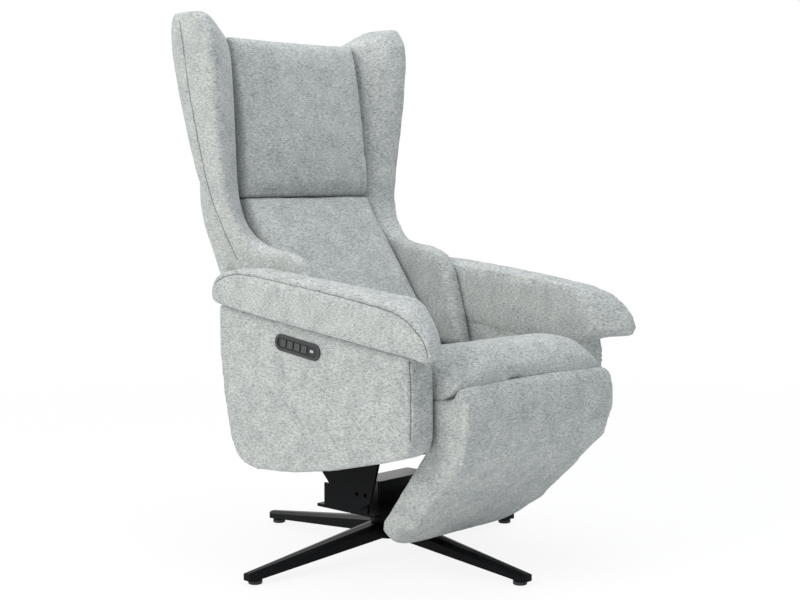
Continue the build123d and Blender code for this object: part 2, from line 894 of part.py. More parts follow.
with BuildPart() as head_lugs:
    for side in sides.values():
        low_x, high_x = ends(side, upright_half_gap, lug_reach)
        with BuildSketch(Plane.YZ.offset(low_x)):
            with Locations((upright_front(upright_bend), head_pivot_z)):
                Rectangle(
                    upright_front(upright_bend) - head_pivot_y + head_barrel_radius,
                    2 * head_barrel_radius,
                    align=(Align.MAX, Align.CENTER),
                )
            with Locations((head_pivot_y, head_pivot_z)):
                Circle(head_pin_radius + running_gap, mode=Mode.SUBTRACT)
        extrude(amount=high_x - low_x)
keep(head_lugs, "head_lugs")


# Footrest carriage: bars that slide out along runners on the seat rails
def slide_line(y):
    """Middle height of the slide bars."""
    return on_slope(y, foot_pivot_y, foot_pivot_z, slide_slope)


def slide_outline(rear, front, height):
    """Side outline of a bar along the slide line, cut square to it at both ends."""
    lean_y = sin(radians(slide_slope)) * height / 2
    lean_z = cos(radians(slide_slope)) * height / 2
    return [
        (rear + lean_y, slide_line(rear) + lean_z),
        (front + lean_y, slide_line(front) + lean_z),
        (front - lean_y, slide_line(front) - lean_z),
        (rear - lean_y, slide_line(rear) - lean_z),
    ]


slide_rear = foot_pivot_y + slide_bar_length * cos(radians(slide_slope))
bar_gap = 0.3
bar_inner = slide_bar_x - slide_bar_width / 2
bar_outer = slide_bar_x + slide_bar_width / 2
with BuildPart() as slide_bars:
    for side in sides.values():
        low_x, high_x = ends(side, bar_inner, bar_outer)
        extrude(side_face(low_x, slide_outline(slide_rear, foot_pivot_y, slide_bar_height)), amount=slide_bar_width)
        with BuildSketch(Plane.YZ.offset(low_x)):
            with Locations((foot_pivot_y, foot_pivot_z)):
                Circle(slide_bar_height / 2)
        extrude(amount=slide_bar_width)
        with BuildSketch(Plane.YZ.offset(low_x)):
            with Locations((foot_pivot_y, foot_pivot_z)):
                Circle(foot_pin_radius + running_gap)
        extrude(amount=slide_bar_width, mode=Mode.SUBTRACT)
keep(slide_bars, "slide_bars")

with BuildPart() as runners:
    for side in sides.values():
        low_x, high_x = ends(side, bar_inner - bar_gap - runner_wall, rail_outer - rail_width)
        bar_low, bar_high = ends(side, bar_inner - bar_gap, bar_outer + bar_gap)
        extrude(
            side_face(low_x, slide_outline(runner_rear, runner_front, slide_bar_height + 2 * runner_wall)),
            amount=high_x - low_x,
        )
        extrude(
            side_face(bar_low, slide_outline(runner_rear + 20, runner_front - 20, slide_bar_height + 2 * bar_gap)),
            amount=bar_high - bar_low,
            mode=Mode.SUBTRACT,
        )
keep(runners, "runners")

with BuildPart() as carriage_bar:
    with BuildSketch(Plane.YZ.offset(-bar_inner)):
        with Locations((carriage_bar_y, slide_line(carriage_bar_y))):
            Circle(carriage_bar_radius)
    extrude(amount=2 * bar_inner)
keep(carriage_bar, "carriage_bar")

slide_direction = Vector(0, -cos(radians(slide_slope)), sin(radians(slide_slope)))


def along_slide(x, y):
    """A plane square to the slide line."""
    return Plane(origin=(x, y, slide_line(y)), x_dir=(1, 0, 0), z_dir=slide_direction)


def slide_length(rear, front):
    """Distance along the slide line between two Y places."""
    return (rear - front) / cos(radians(slide_slope))


with BuildPart() as footrest_motor:
    with BuildSketch(along_slide(foot_motor_x, foot_motor_rear)):
        Circle(foot_motor_radius)
    extrude(amount=slide_length(foot_motor_rear, foot_motor_front))
    saddle_z = rail_low(cross_tube_front) + rail_height / 2
    with Locations((foot_motor_x, cross_tube_front, saddle_z)):
        Box(
            foot_motor_radius,
            2 * cross_tube_radius,
            slide_line(cross_tube_front) - saddle_z,
            align=standing,
        )
    with BuildSketch(Plane.YZ.offset(foot_motor_x - 2 * foot_motor_radius)):
        with Locations((cross_tube_front, saddle_z)):
            Circle(cross_tube_radius + running_gap)
    extrude(amount=4 * foot_motor_radius, mode=Mode.SUBTRACT)
    with BuildSketch(along_slide(foot_motor_x, foot_motor_rear).offset(12)):
        Circle(foot_rod_radius + running_gap)
    extrude(amount=slide_length(foot_motor_rear, foot_motor_front), mode=Mode.SUBTRACT)
keep(footrest_motor, "footrest_motor")

with BuildPart() as footrest_rod:
    with BuildSketch(along_slide(foot_motor_x, foot_motor_rear).offset(14)):
        Circle(foot_rod_radius)
    extrude(amount=slide_length(foot_motor_rear, carriage_bar_y) - 14)
    with BuildSketch(Plane.YZ.offset(foot_motor_x - 2 * foot_rod_radius)):
        with Locations((carriage_bar_y, slide_line(carriage_bar_y))):
            Circle(carriage_bar_radius + running_gap)
    extrude(amount=4 * foot_rod_radius, mode=Mode.SUBTRACT)
keep(footrest_rod, "footrest_rod")

# Footrest: board, padded cover and knuckles that turn on the carriage pins
foot_sections = [
    (70.0, 49.0, -177.0, -152.0),
    (87.0, 40.0, -203.0, -146.0),
    (124.0, 34.0, -242.0, -170.0),
    (200.0, 23.0, -318.0, -234.0),
    (270.0, 14.0, -378.0, -294.0),
    (330.0, 7.0, -398.0, -316.0),
    (388.0, 5.0, -394.0, -320.0),
]
foot_levels = [(z, seat_half_width - set_in, front, rear) for z, set_in, front, rear in foot_sections]
knuckle_x = bar_inner - bar_gap
knuckle_width = 6.0
slot_inner = knuckle_x - knuckle_width - 2
slot_outer = bar_outer + 4
board_thickness = 12.0
board_line = [(-184.0, 136.0), (-322.0, 316.0)]
board_turn = atan2(board_line[1][1] - board_line[0][1], board_line[1][0] - board_line[0][0])


def from_board(end, along, behind):
    """A point beside one end of the board's rear face: along the board and behind it."""
    y, z = board_line[end]
    return (
        y + along * cos(board_turn) + behind * sin(board_turn),
        z + along * sin(board_turn) - behind * cos(board_turn),
    )


board_outline = [
    from_board(0, 0, 0),
    from_board(1, 0, 0),
    from_board(1, 0, -board_thickness),
    from_board(0, 0, -board_thickness),
]
board_room = [
    from_board(0, -2 * soft_gap, 60),
    from_board(1, 2 * soft_gap, 60),
    from_board(1, 2 * soft_gap, -board_thickness - soft_gap),
    from_board(0, -2 * soft_gap, -board_thickness - soft_gap),
]
board_half = seat_half_width - board_set_in
with BuildPart() as foot_board:
    extrude(side_face(-board_half, board_outline), amount=2 * board_half)
keep(foot_board, "foot_board")

with BuildPart() as foot_knuckles:
    for side in sides.values():
        low_x, high_x = ends(side, knuckle_x - knuckle_width, knuckle_x)
        with BuildSketch(Plane.YZ.offset(low_x)):
            with BuildLine():
                Polyline(
                    board_outline[2],
                    board_outline[1],
                    (foot_pivot_y + slide_bar_height / 2, foot_pivot_z),
                    (foot_pivot_y - slide_bar_height / 2, foot_pivot_z),
                    close=True,
                )
            make_face()
            with Locations((foot_pivot_y, foot_pivot_z)):
                Circle(slide_bar_height / 2)
                Circle(foot_pin_radius + running_gap, mode=Mode.SUBTRACT)
        extrude(amount=knuckle_width)
keep(foot_knuckles, "foot_knuckles")

with BuildPart() as foot_pins:
    for side in sides.values():
        low_x, high_x = ends(side, knuckle_x - knuckle_width, bar_outer)
        with BuildSketch(Plane.YZ.offset(low_x)):
            with Locations((foot_pivot_y, foot_pivot_z)):
                Circle(foot_pin_radius)
        extrude(amount=high_x - low_x)
keep(foot_pins, "foot_pins")

with BuildPart() as foot_cushion:
    loft(
        sections=[
            level_face(
                z,
                [
                    (-half, rear),
                    (half, rear),
                    (half, front + foot_bulge),
                    (half * 0.7, front),
                    (-half * 0.7, front),
                    (-half, front + foot_bulge),
                ],
                min(foot_rounding, (rear - front - foot_bulge) / 3),
            )
            for z, half, front, rear in foot_levels
        ]
    )
    # Room for the board and for the hinge
    extrude(
        side_face(-board_half - soft_gap, board_room), amount=2 * (board_half + soft_gap), mode=Mode.SUBTRACT
    )
    for side in sides.values():
        low_x, high_x = ends(side, slot_inner, slot_outer)
        with Locations(((low_x + high_x) / 2, foot_pivot_y - 36, foot_pivot_z - 66)):
            Box(high_x - low_x, 120, 160, align=(Align.CENTER, Align.MIN, Align.MIN), mode=Mode.SUBTRACT)
keep(foot_cushion, "foot_cushion")

# Recline actuator: a motor that swings on the front cross tube, its rod and the lug on the back
actuator_foot = Vector(actuator_x, cross_tube_front, rail_low(cross_tube_front) + rail_height / 2)
actuator_lug = Vector(actuator_x, actuator_lug_y, actuator_lug_z)
actuator_reach = (actuator_lug - actuator_foot).length
actuator_plane = Plane(origin=actuator_foot, x_dir=(1, 0, 0), z_dir=(actuator_lug - actuator_foot))
motor_start = cross_tube_radius + 2
with BuildPart() as recline_motor:
    with BuildSketch(actuator_plane.offset(motor_start)):
        Circle(motor_radius)
    extrude(amount=motor_length)
    with BuildSketch(Plane.YZ.offset(actuator_x - motor_radius / 2)):
        with Locations((actuator_foot.Y, actuator_foot.Z)):
            Circle(cross_tube_radius + runner_wall)
    extrude(amount=motor_radius)
    with BuildSketch(Plane.YZ.offset(actuator_x - 2 * motor_radius)):
        with Locations((actuator_foot.Y, actuator_foot.Z)):
            Circle(cross_tube_radius + running_gap)
    extrude(amount=4 * motor_radius, mode=Mode.SUBTRACT)
    with BuildSketch(actuator_plane.offset(motor_start + 40)):
        Circle(rod_radius + running_gap)
    extrude(amount=motor_length, mode=Mode.SUBTRACT)
keep(recline_motor, "recline_motor")

rod_start = motor_start + 40 + 62
with BuildPart() as recline_rod:
    with BuildSketch(actuator_plane.offset(rod_start)):
        Circle(rod_radius)
    extrude(amount=actuator_reach - rod_end_gap - rod_start)
keep(recline_rod, "recline_rod")

lug_top = upright_foot
with BuildPart() as drive_lug:
    with BuildSketch(Plane.YZ.offset(actuator_x - lug_thickness / 2)):
        with BuildLine():
            Polyline(
                (upright_front(lug_top) + 4, lug_top),
                (upright_front(lug_top) + upright_run - 2, lug_top),
                (actuator_lug_y + lug_radius, actuator_lug_z + 3 * lug_radius),
                (actuator_lug_y + lug_radius, actuator_lug_z),
                (actuator_lug_y - lug_radius, actuator_lug_z),
                (actuator_lug_y - lug_radius, actuator_lug_z + 2 * lug_radius),
                close=True,
            )
        make_face()
        with Locations((actuator_lug_y, actuator_lug_z)):
            Circle(lug_radius)
    extrude(amount=lug_thickness)
keep(drive_lug, "drive_lug")
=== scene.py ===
# Swivel recliner with a winged back, padded arms and a fold-down footrest, dressed over its CAD frame.
import json

import bmesh
import bpy
from math import radians
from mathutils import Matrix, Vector, kdtree
from mathutils.bvhtree import BVHTree


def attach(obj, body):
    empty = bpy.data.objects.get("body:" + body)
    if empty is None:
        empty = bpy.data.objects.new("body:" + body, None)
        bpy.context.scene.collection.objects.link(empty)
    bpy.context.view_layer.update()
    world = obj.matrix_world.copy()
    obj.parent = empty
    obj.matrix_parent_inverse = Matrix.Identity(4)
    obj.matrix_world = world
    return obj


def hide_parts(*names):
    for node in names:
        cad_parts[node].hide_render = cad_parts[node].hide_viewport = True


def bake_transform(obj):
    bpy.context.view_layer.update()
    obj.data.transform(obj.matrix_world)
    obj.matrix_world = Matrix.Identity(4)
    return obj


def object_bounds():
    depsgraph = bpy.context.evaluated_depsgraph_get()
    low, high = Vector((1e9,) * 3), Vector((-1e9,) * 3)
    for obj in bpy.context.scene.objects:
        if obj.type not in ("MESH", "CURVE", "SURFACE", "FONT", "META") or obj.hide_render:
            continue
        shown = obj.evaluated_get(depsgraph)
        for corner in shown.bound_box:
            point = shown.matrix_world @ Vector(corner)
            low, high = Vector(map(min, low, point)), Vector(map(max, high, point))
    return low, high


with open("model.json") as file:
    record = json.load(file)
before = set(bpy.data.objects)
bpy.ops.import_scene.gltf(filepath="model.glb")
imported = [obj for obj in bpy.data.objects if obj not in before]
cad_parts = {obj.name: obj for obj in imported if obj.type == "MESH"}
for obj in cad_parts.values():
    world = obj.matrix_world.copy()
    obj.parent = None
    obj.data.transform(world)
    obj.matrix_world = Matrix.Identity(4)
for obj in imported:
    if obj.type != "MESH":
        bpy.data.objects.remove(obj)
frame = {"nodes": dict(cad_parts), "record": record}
cad_low, cad_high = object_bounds()
nodes = frame["nodes"]

# Upholstery sizes, in metres
FABRIC_VOXEL = 0.005
SEAM_REACH = 0.007
SEAM_DEPTH = 0.0035
THREAD_RADIUS = 0.0009
SEAM_POINTS = 160

# Filling of the cushions
FILL_PRESSURE = 4.0
FILL_STEPS = 20

# Photograph's view
CAMERA_PLACE = (-2.2635, -2.1686, 0.8031)
CAMERA_PITCH = 85.11
CAMERA_HEADING = -46.622
CAMERA_LENS = 67.5

# Studio: the floor fades from one distance to another, between two shares of white,
# and each lamp has its name, place, size, power and tint
SKY_COLOUR = (0.93, 0.975, 1, 1)
SKY_STRENGTH = 0.62
FLOOR_SIZE = 30
FLOOR_GAP = 0.0005
FLOOR_FADE = (0.9, 3.2, 0.88, 1.0)
LAMP_AIM = (0, 0, 0.55)
STUDIO_LAMPS = (
    ("key", (-3.5, 0.4, 2.3), 2.4, 84, (1, 0.97, 0.9)),
    ("front", (0.6, -3.4, 2.2), 2.6, 6, (0.95, 0.98, 1)),
    ("top", (0.1, -0.2, 3.4), 2.4, 54, (0.97, 0.985, 1)),
)


def finish(name, colour, roughness, metallic=0.0):
    """A new material with its shader's plain values set"""
    material = bpy.data.materials.new(name)
    material.use_nodes = True
    shader = material.node_tree.nodes["Principled BSDF"]
    shader.inputs["Base Color"].default_value = (*colour, 1)
    shader.inputs["Roughness"].default_value = roughness
    shader.inputs["Metallic"].default_value = metallic
    return material, material.node_tree, shader


def node(tree, kind, **values):
    """A shader node with its settings and the constants of its inputs"""
    made = tree.nodes.new(kind)
    for name, value in values.items():
        if hasattr(made, name):
            setattr(made, name, value)
        else:
            made.inputs[name.replace("_", " ")].default_value = value
    return made


def speckle(tree, scale, detail, stretch=(1, 1, 1), grit=0.6):
    """Noise on the piece's own coordinates, stretched along an axis"""
    place = node(tree, "ShaderNodeTexCoord")
    turn = node(tree, "ShaderNodeMapping")
    turn.inputs["Scale"].default_value = stretch
    noise = node(tree, "ShaderNodeTexNoise", Scale=scale, Detail=detail, Roughness=grit)
    tree.links.new(place.outputs["Object"], turn.inputs["Vector"])
    tree.links.new(turn.outputs["Vector"], noise.inputs["Vector"])
    return noise.outputs["Fac"]


def shades(tree, value, stops):
    """Colours along a ramp"""
    scale = node(tree, "ShaderNodeValToRGB")
    first, last = scale.color_ramp.elements
    first.position, first.color = stops[0][0], (*stops[0][1], 1)
    last.position, last.color = stops[-1][0], (*stops[-1][1], 1)
    for position, colour in stops[1:-1]:
        scale.color_ramp.elements.new(position).color = (*colour, 1)
    tree.links.new(value, scale.inputs["Fac"])
    return scale.outputs["Color"]


def blended(tree, kind, share, first, second):
    """Two colours mixed"""
    mix = node(tree, "ShaderNodeMix", data_type="RGBA", blend_type=kind)
    mix.inputs[0].default_value = share
    tree.links.new(first, mix.inputs[6])
    tree.links.new(second, mix.inputs[7])
    return mix.outputs[2]


def relief(tree, shader, height, strength, distance):
    """Bump from a height"""
    bump = node(tree, "ShaderNodeBump", Strength=strength, Distance=distance)
    tree.links.new(height, bump.inputs["Height"])
    tree.links.new(bump.outputs["Normal"], shader.inputs["Normal"])


def heather_chenille(name, dark, middle, light):
    """Grey chenille: flecked yarn, a brushed nap in cloudy patches and a soft pile"""
    material, tree, shader = finish(name, middle, 0.92)
    fleck = speckle(tree, 150, 8, (1, 1, 2.8), 0.75)
    yarn = shades(tree, fleck, [(0.33, dark), (0.5, middle), (0.68, light)])
    nap = speckle(tree, 24, 5)
    cloud = shades(tree, nap, [(0.35, (0.82, 0.84, 0.85)), (0.6, (1, 1, 1))])
    tree.links.new(blended(tree, "MULTIPLY", 1.0, yarn, cloud), shader.inputs["Base Color"])
    weave = speckle(tree, 430, 3, (1, 1, 2.2))
    relief(tree, shader, weave, 0.6, 0.002)
    shader.inputs["Sheen Weight"].default_value = 0.12
    shader.inputs["Sheen Roughness"].default_value = 0.5
    shader.inputs["Specular IOR Level"].default_value = 0.2
    return material


def worn_metal(name, colour, roughness, metallic, grain):
    """Coated or bare metal with a fine texture in its gloss"""
    material, tree, shader = finish(name, colour, roughness, metallic)
    coat = speckle(tree, grain, 3)
    low, high = roughness * 0.8, min(1, roughness * 1.25)
    gloss = shades(tree, coat, [(0.3, (low,) * 3), (0.7, (high,) * 3)])
    tree.links.new(gloss, shader.inputs["Roughness"])
    relief(tree, shader, coat, 0.08, 0.0006)
    return material


def moulded(name, colour, roughness, grain=900):
    """Moulded plastic or rubber with a faint grain"""
    material, tree, shader = finish(name, colour, roughness)
    pores = speckle(tree, grain, 2)
    deep = tuple(c * 0.85 for c in colour)
    pale = tuple(min(1, c * 1.15) for c in colour)
    tone = shades(tree, pores, [(0.35, deep), (0.65, pale)])
    tree.links.new(tone, shader.inputs["Base Color"])
    relief(tree, shader, pores, 0.1, 0.0004)
    return material


chenille = heather_chenille(
    "grey_chenille", dark=(0.19, 0.203, 0.205), middle=(0.455, 0.473, 0.466), light=(0.69, 0.707, 0.694)
)
# Seam thread: a real thread whose dark colour is painted shade of the seam groove it lies in
seam_thread_painted_shade = heather_chenille(
    "seam_thread_painted_shade", dark=(0.12, 0.13, 0.135), middle=(0.18, 0.19, 0.195), light=(0.25, 0.26, 0.265)
)
black_coat = worn_metal("black_powder_coat", (0.005, 0.0055, 0.0065), 0.3, 0.0, 700)
black_coat.node_tree.nodes["Principled BSDF"].inputs["Specular IOR Level"].default_value = 0.06
bright_steel = worn_metal("bright_steel", (0.62, 0.63, 0.65), 0.3, 1.0, 400)
glide = moulded("glide_rubber", (0.02, 0.02, 0.021), 0.7)
plastic = moulded("black_plastic", (0.012, 0.012, 0.013), 0.28)
graphite = worn_metal("graphite_bezel", (0.05, 0.052, 0.056), 0.36, 0.5, 900)
button_grey = moulded("button_grey", (0.045, 0.047, 0.05), 0.4)
lens = moulded("lamp_lens", (0.42, 0.44, 0.46), 0.12)
frame_wood = moulded("frame_wood", (0.42, 0.29, 0.17), 0.6, 60)
strap = heather_chenille("seat_webbing", dark=(0.05,) * 3, middle=(0.09,) * 3, light=(0.13,) * 3)

finishes = {
    "black_metal": black_coat,
    "steel": bright_steel,
    "glide_rubber": glide,
    "webbing": strap,
    "frame_wood": frame_wood,
    "black_plastic": plastic,
    "graphite_bezel": graphite,
    "button_grey": button_grey,
    "lamp_lens": lens,
    "upholstery": chenille,
}


def through(points, count):
    """A smooth curve through points, as count points"""
    run = [Vector(p) for p in points]
    run = [2 * run[0] - run[1], *run, 2 * run[-1] - run[-2]]
    spans = len(points) - 1
    curve = []
    for i in range(count):
        at = i * spans / (count - 1)
        k = min(int(at), spans - 1)
        t = at - k
        a, b, c, d = run[k : k + 4]
        bend = (2 * a - 5 * b + 4 * c - d) * t**2
        twist = (3 * b - a - 3 * c + d) * t**3
        curve.append(0.5 * ((2 * b) + (c - a) * t + bend + twist))
    return curve


def baked(piece):
    """The piece with its modifiers applied"""
    graph = bpy.context.evaluated_depsgraph_get()
    mesh = bpy.data.meshes.new_from_object(piece.evaluated_get(graph))
    piece.modifiers.clear()
    piece.data = mesh
    return piece


def even_skin(piece, voxel):
    """One closed skin of even faces over everything in the piece"""
    skin = piece.modifiers.new("Skin", "REMESH")
    skin.mode = "VOXEL"
    skin.voxel_size = voxel
    return baked(piece)


def relaxed(piece, rounds):
    """Edges eased as fabric over foam eases them"""
    bm = bmesh.new()
    bm.from_mesh(piece.data)
    for _ in range(rounds):
        bmesh.ops.smooth_vert(
            bm, verts=bm.verts, factor=0.5, use_axis_x=True, use_axis_y=True, use_axis_z=True
        )
    bm.to_mesh(piece.data)
    bm.free()


def swell(piece, cap):
    """Fabric filled by its padding: a cloth simulation, with each point's movement kept under a cap"""
    start = [v.co.copy() for v in piece.data.vertices]
    cloth = piece.modifiers.new("Filling", "CLOTH")
    cloth.settings.quality = 4
    cloth.settings.mass = 0.3
    cloth.settings.use_pressure = True
    cloth.settings.uniform_pressure_force = FILL_PRESSURE
    cloth.settings.effector_weights.gravity = 0
    cloth.collision_settings.use_collision = False
    for step in range(1, FILL_STEPS + 1):
        bpy.context.scene.frame_set(step)
    graph = bpy.context.evaluated_depsgraph_get()
    filled = [v.co.copy() for v in piece.evaluated_get(graph).data.vertices]
    piece.modifiers.remove(cloth)
    bpy.context.scene.frame_set(1)
    for vertex, was, now in zip(piece.data.vertices, start, filled):
        shift = now - was
        vertex.co = was + shift * (cap / (cap + shift.length))


def fine(piece):
    """One subdivision, applied"""
    smooth = piece.modifiers.new("Smooth", "SUBSURF")
    smooth.levels = smooth.render_levels = 1
    return baked(piece)


def sewn(piece, paths, body):
    """Seams pulled into the piece along paths, with their thread, which is dark as painted shade of the seam
    groove
    """
    graph = bpy.context.evaluated_depsgraph_get()
    skin = BVHTree.FromObject(piece, graph)
    routes = []
    for path in paths:
        route = [skin.find_nearest(p)[0] for p in through(path, SEAM_POINTS)]
        for _ in range(12):
            inner = [(a + 2 * b + c) / 4 for a, b, c in zip(route, route[1:], route[2:])]
            route = [route[0], *inner, route[-1]]
        routes.append(route)
    tree = kdtree.KDTree(sum(len(r) for r in routes))
    for i, point in enumerate(p for r in routes for p in r):
        tree.insert(point, i)
    tree.balance()
    for vertex in piece.data.vertices:
        away = tree.find(vertex.co)[2]
        if away < SEAM_REACH:
            vertex.co -= vertex.normal * SEAM_DEPTH * (1 - (away / SEAM_REACH) ** 2) ** 2
    piece.data.update()
    sunk = BVHTree.FromObject(piece, bpy.context.evaluated_depsgraph_get())
    for number, route in enumerate(routes, 1):
        line = bpy.data.curves.new(f"{piece.name}_seam_{number}", "CURVE")
        line.dimensions = "3D"
        line.bevel_depth = THREAD_RADIUS
        line.bevel_resolution = 2
        line.use_fill_caps = True
        spline = line.splines.new("POLY")
        spline.points.add(len(route) - 1)
        for point, at in zip(spline.points, route):
            near, facing = sunk.find_nearest(at)[:2]
            point.co = (*(at + facing * ((near - at).dot(facing))), 1)
        thread = bpy.data.objects.new(line.name, line)
        bpy.context.collection.objects.link(thread)
        # The thread's dark material is painted shade of the seam groove
        thread.data.materials.append(seam_thread_painted_shade)
        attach(thread, body)


def dressed(piece, body, cad_nodes):
    """Fabric, body and CAD nodes of a padded piece, with a piece given no body left unattached"""
    piece.data.materials.clear()
    piece.data.materials.append(chenille)
    piece.data.polygons.foreach_set("use_smooth", [True] * len(piece.data.polygons))
    if body:
        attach(piece, body)
    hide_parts(*cad_nodes)


def slab(bm, outline, low_x, high_x):
    """A side outline in Y and Z, drawn out along X"""
    face = bm.faces.new([bm.verts.new((low_x, *point)) for point in outline])
    grown = bmesh.ops.extrude_face_region(bm, geom=[face])
    far_side = [v for v in grown["geom"] if isinstance(v, bmesh.types.BMVert)]
    bmesh.ops.translate(bm, verts=far_side, vec=(high_x - low_x, 0, 0))


def stack(bm, levels, corners=20):
    """Level outlines, each given by its height and four corners, bridged into one closed form"""
    loops = []
    for height, (front_in, front_out, rear_out, rear_in) in levels:
        ring = bmesh.ops.create_circle(bm, cap_ends=False, segments=corners, radius=1)["verts"]
        for vertex in ring:
            across, along = vertex.co.x, vertex.co.y
            u = 0.5 + 0.5 * (1 if across > 0 else -1) * abs(across) ** 0.5
            v = 0.5 + 0.5 * (1 if along > 0 else -1) * abs(along) ** 0.5
            front = Vector(front_in).lerp(Vector(front_out), u)
            rear = Vector(rear_in).lerp(Vector(rear_out), u)
            vertex.co = (*front.lerp(rear, v), height)
        loops.append(list({e for vertex in ring for e in vertex.link_edges}))
    for lower, upper in zip(loops, loops[1:]):
        bmesh.ops.bridge_loops(bm, edges=lower + upper)
    for loop in (loops[0], loops[-1]):
        bmesh.ops.holes_fill(bm, edges=loop, sides=corners)
    bmesh.ops.recalc_face_normals(bm, faces=bm.faces)


def piece_of(name, bm):
    """A new object with this mesh, its faces turned outwards"""
    bmesh.ops.recalc_face_normals(bm, faces=bm.faces)
    mesh = bpy.data.meshes.new(name)
    bm.to_mesh(mesh)
    bm.free()
    piece = bpy.data.objects.new(name, mesh)
    bpy.context.collection.objects.link(piece)
    return piece


def ramp(value, low, high):
    """0 below low, 1 above high, eased between"""
    share = min(1, max(0, (value - low) / (high - low)))
    return share * share * (3 - 2 * share)


def moved(piece, place):
    """Every point of the piece put where place says"""
    for vertex in piece.data.vertices:
        vertex.co = place(vertex.co)
    piece.data.update()


# Seat cushion: a crowned pad whose front rolls over and reaches down to the footrest
SEAT_HALF = 0.227
SEAT_REAR = 0.016
SEAT_REAR_LOW = 0.347
SEAT_PITCH = 0.16
SEAT_HEIGHT = 0.09
SEAT_SINK = 0.016
SEAT_SIDE_DROP = 0.012
SEAT_FRONT_ROLL = 0.020
SEAT_FOOT = 0.026
SEAT_TUCK = 0.010
SEAT_FULLNESS = 0.006
SEAT_WIDENING = 0.028
ROD_X = -0.058
ROD_FOOT_SHARE = 0.4

bm = bmesh.new()
bm.from_mesh(nodes["seat_cushion"].data)
bmesh.ops.remove_doubles(bm, verts=bm.verts, dist=1e-5)
seat_pad = even_skin(piece_of("seat_pad", bm), FABRIC_VOXEL)
relaxed(seat_pad, 5)


def seat_share(c):
    """How far up the seat cushion a point is, from its underside at 0 to its crown at 1"""
    underside = SEAT_REAR_LOW + (SEAT_REAR - c.y) * SEAT_PITCH
    return min(1, max(0, (c.z - underside) / SEAT_HEIGHT))


def seat_form(c):
    """The front rolls over and is full, and its foot reaches down to the footrest, less so over the rod"""
    side = (abs(c.x) / SEAT_HALF) ** 4
    front = 1 - ramp(c.y, -0.386, -0.08)
    roll = SEAT_FRONT_ROLL * (1 - ramp(c.y, -0.40, -0.29))
    drop = (SEAT_SINK + SEAT_SIDE_DROP * side + SEAT_SIDE_DROP * side * front + roll) * seat_share(c)
    over_rod = ROD_FOOT_SHARE + (1 - ROD_FOOT_SHARE) * ramp(abs(c.x - ROD_X), 0.012, 0.032)
    foot = SEAT_FOOT * over_rod * (1 - ramp(c.y, -0.33, -0.27)) * (1 - seat_share(c))
    tuck = SEAT_TUCK * (1 - ramp(c.y, -0.38, -0.34)) * (1 - ramp(c.z, 0.405, 0.43))
    full = SEAT_FULLNESS * (1 - side) * (1 - ramp(c.y, -0.39, -0.33)) * ramp(c.z, 0.41, 0.44)
    wide = 1 + SEAT_WIDENING * (1 - ramp(c.y, -0.40, -0.35))
    return Vector((c.x * wide, c.y - full + tuck, c.z - drop - foot))


moved(seat_pad, seat_form)
relaxed(seat_pad, 8)
swell(seat_pad, 0.006)
fine(seat_pad)
dressed(seat_pad, "seat", ["seat_cushion"])

# Lumbar cushion: runs from the seat up to the foot of the head cushion
LUMBAR_HALF = 0.184
lumbar_outline = [
    (0.020, 0.402),
    (0.017, 0.432),
    (0.050, 0.479),
    (0.088, 0.531),
    (0.165, 0.637),
    (0.225, 0.721),
    (0.241, 0.748),
    (0.288, 0.748),
    (0.272, 0.70),
    (0.196, 0.59),
    (0.104, 0.472),
    (0.066, 0.425),
    (0.058, 0.402),
]
bm = bmesh.new()
slab(bm, lumbar_outline, -LUMBAR_HALF, LUMBAR_HALF)
lumbar_pad = even_skin(piece_of("lumbar_pad", bm), FABRIC_VOXEL)
relaxed(lumbar_pad, 3)
swell(lumbar_pad, 0.005)
relaxed(lumbar_pad, 2)
fine(lumbar_pad)
dressed(lumbar_pad, "back", ["lumbar_cushion"])

# Head cushion: leans back, with its foot resting on the lumbar cushion
HEAD_HALF = 0.183
HEAD_CROWN = 0.008
head_outline = [
    (0.262, 0.744),
    (0.246, 0.752),
    (0.240, 0.772),
    (0.243, 0.82),
    (0.252, 0.90),
    (0.264, 0.98),
    (0.278, 1.045),
    (0.288, 1.079),
    (0.300, 1.090),
    (0.317, 1.090),
    (0.316, 0.90),
    (0.314, 0.746),
]
bm = bmesh.new()
slab(bm, head_outline, -HEAD_HALF, HEAD_HALF)
head_pad = even_skin(piece_of("head_pad", bm), FABRIC_VOXEL)
relaxed(head_pad, 5)


def head_crown(c):
    """The front of the pad is fuller along its middle"""
    crown = HEAD_CROWN * (1 - (c.x / HEAD_HALF) ** 2) * (1 - ramp(c.y, 0.28, 0.31))
    return Vector((c.x, c.y - crown, c.z))


moved(head_pad, head_crown)
swell(head_pad, 0.005)
fine(head_pad)
dressed(head_pad, None, ["head_cushion"])
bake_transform(head_pad)

# Footrest pad: thick at its top lip, which closes against the seat, and drawn to a rounded tip
FOOT_HALF_TOP = 0.228
FOOT_HALF_TIP = 0.190
FOOT_CORNER_LIFT = 0.03
FOOT_LIP_WIDENING = 0.003
FOOT_LIP_DROOP = 0.008
foot_outline = [
    (-0.388, 0.420),
    (-0.404, 0.408),
    (-0.411, 0.38),
    (-0.413, 0.335),
    (-0.396, 0.274),
    (-0.334, 0.203),
    (-0.257, 0.126),
    (-0.212, 0.088),
    (-0.185, 0.072),
    (-0.164, 0.070),
    (-0.148, 0.084),
    (-0.170, 0.126),
    (-0.234, 0.202),
    (-0.294, 0.272),
    (-0.316, 0.332),
    (-0.321, 0.388),
    (-0.366, 0.388),
    (-0.378, 0.402),
]
bm = bmesh.new()
slab(bm, foot_outline, -FOOT_HALF_TOP, FOOT_HALF_TOP)
foot_pad = even_skin(piece_of("foot_pad", bm), FABRIC_VOXEL)


